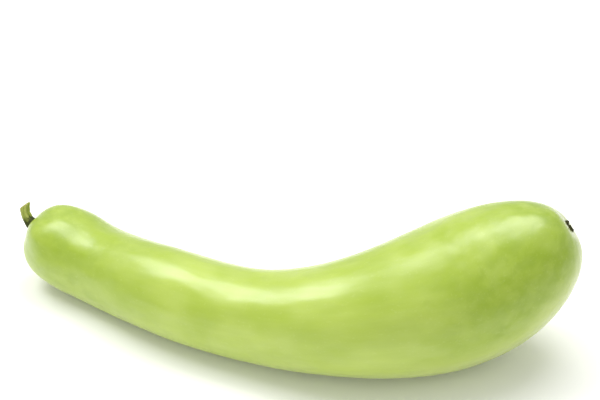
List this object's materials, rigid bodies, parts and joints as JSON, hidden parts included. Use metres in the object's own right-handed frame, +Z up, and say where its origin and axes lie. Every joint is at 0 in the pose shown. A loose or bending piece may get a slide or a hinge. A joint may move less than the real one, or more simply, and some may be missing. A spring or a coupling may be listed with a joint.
{
  "type": "bottle gourd",
  "caption": "Whole bottle gourd as picked, lying down: a smooth bent fruit, slim at the ribbed stalk and full at the blossom end.",
  "frame": {"origin": "on the table, below the middle of the gourd's box", "axes": "+Z up; +X along the fruit, from the stalk to the blossom end; -Y towards the outside of the bend"},
  "size_m": [0.3704, 0.1666, 0.1049],
  "materials": {
    "gourd_skin": "waxy, semi-gloss, faintly mottled plant skin",
    "stalk": "matt, ribbed, drying green stalk",
    "dried_blossom": "matt, crumbled, dried plant tissue"
  },
  "bodies": {
    "root": {"gourd": "gourd_skin", "stem": "stalk", "blossom_remnant": "dried_blossom"}
  },
  "joints": []
}
